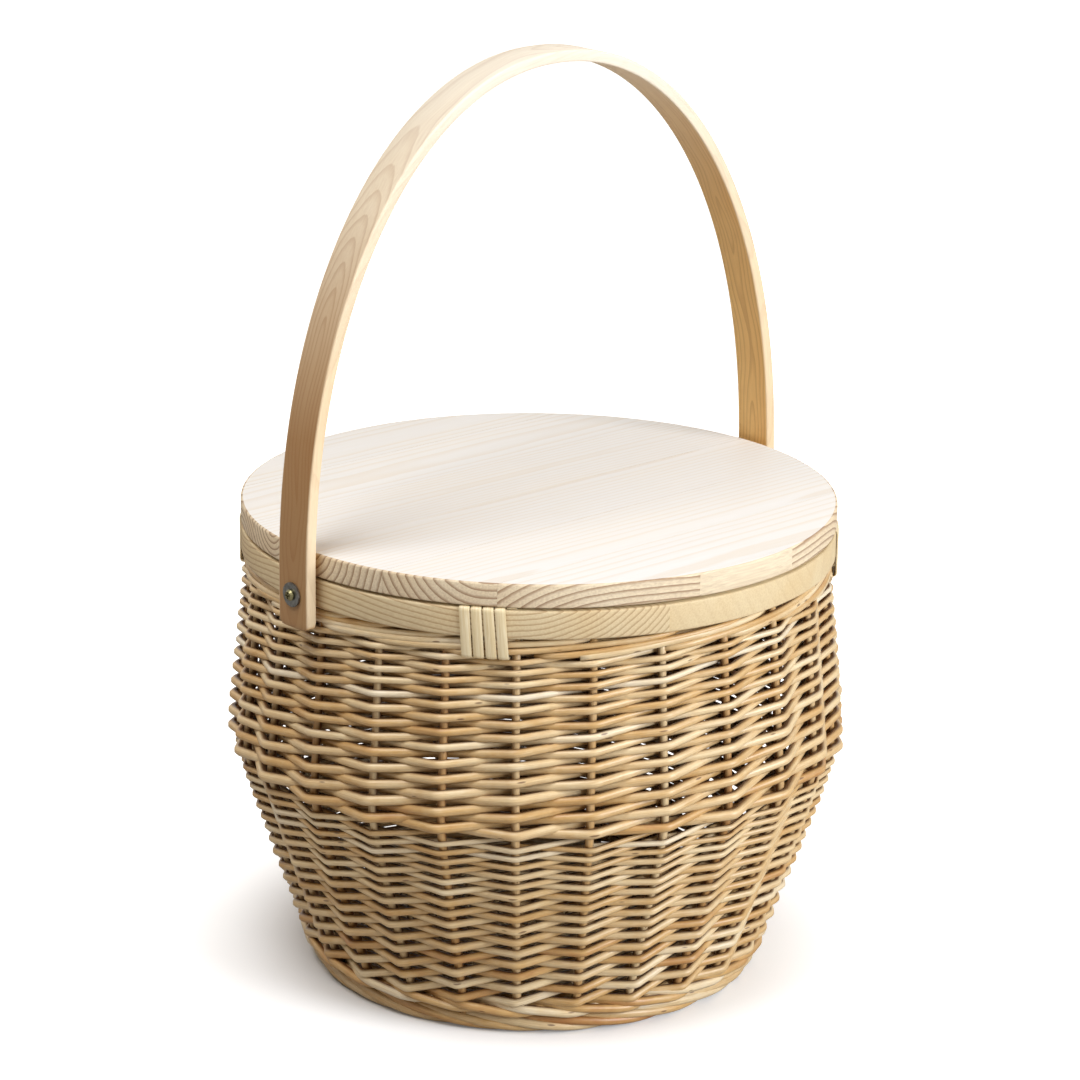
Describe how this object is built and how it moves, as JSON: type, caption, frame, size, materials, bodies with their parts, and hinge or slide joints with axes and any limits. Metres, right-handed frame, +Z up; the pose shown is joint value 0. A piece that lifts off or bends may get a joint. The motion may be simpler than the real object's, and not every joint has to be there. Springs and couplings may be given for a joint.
{
  "type": "picnic basket",
  "caption": "Round woven willow picnic basket with a lift-off pine lid, a pine rim ring and a bentwood handle that swings over.",
  "frame": {"origin": "on the floor under the middle of the basket, at the foot border's flat underside", "axes": "+Z up, X along the line of the two handle pivots, +Y across it"},
  "size_m": [0.39, 0.3768, 0.564],
  "materials": {
    "lid_pine": "sanded, unvarnished",
    "ring_pine": "sanded, unvarnished",
    "handle_wood": "satin, steam-bent",
    "willow": "peeled rod, slight sheen",
    "cane": "flat cane, satin",
    "steel": "dull grey washer",
    "brass": "darkened screw head"
  },
  "bodies": {
    "basket": {"foot_border": "willow", "base_weave": "willow", "base_sticks": "willow", "bottom_wale": "willow", "lower_siding": "willow", "upper_siding": "willow", "top_border": "willow", "stake_01": "willow", "stake_02": "willow", "stake_03": "willow", "stake_04": "willow", "stake_05": "willow", "stake_06": "willow", "stake_07": "willow", "stake_08": "willow", "stake_09": "willow", "stake_10": "willow", "stake_11": "willow", "stake_12": "willow", "stake_13": "willow", "stake_14": "willow", "stake_15": "willow", "stake_16": "willow", "stake_17": "willow", "stake_18": "willow", "stake_19": "willow", "stake_20": "willow", "stake_21": "willow", "stake_22": "willow", "stake_23": "willow", "stake_24": "willow", "stake_25": "willow", "stake_26": "willow", "rim_ring": "ring_pine", "cane_binding_1": "cane", "cane_binding_2": "cane", "cane_binding_3": "cane", "cane_binding_4": "cane", "pivot_screw_left": "brass", "pivot_screw_right": "brass", "outer_washer_left": "steel", "outer_washer_right": "steel", "spacer_washer_left": "steel", "spacer_washer_right": "steel"},
    "handle": {"handle_strap": "handle_wood"},
    "lid": {"lid_board_1": "lid_pine", "lid_board_2": "lid_pine", "lid_board_3": "lid_pine", "lid_board_4": "lid_pine", "lid_board_5": "lid_pine", "lid_board_6": "lid_pine", "lid_board_7": "lid_pine", "lid_batten_left": "lid_pine", "lid_batten_right": "lid_pine"}
  },
  "joints": [
    {"name": "handle_swing", "type": "hinge", "parent": "basket", "child": "handle", "pos_m": [0, 0, 0.2698], "axis": [1, 0, 0], "range_deg": [-132, 132]},
    {"name": "lid_lift", "type": "slide", "parent": "basket", "child": "lid", "axis": [0, 0, 1], "range_m": [0, 0.04]}
  ]
}
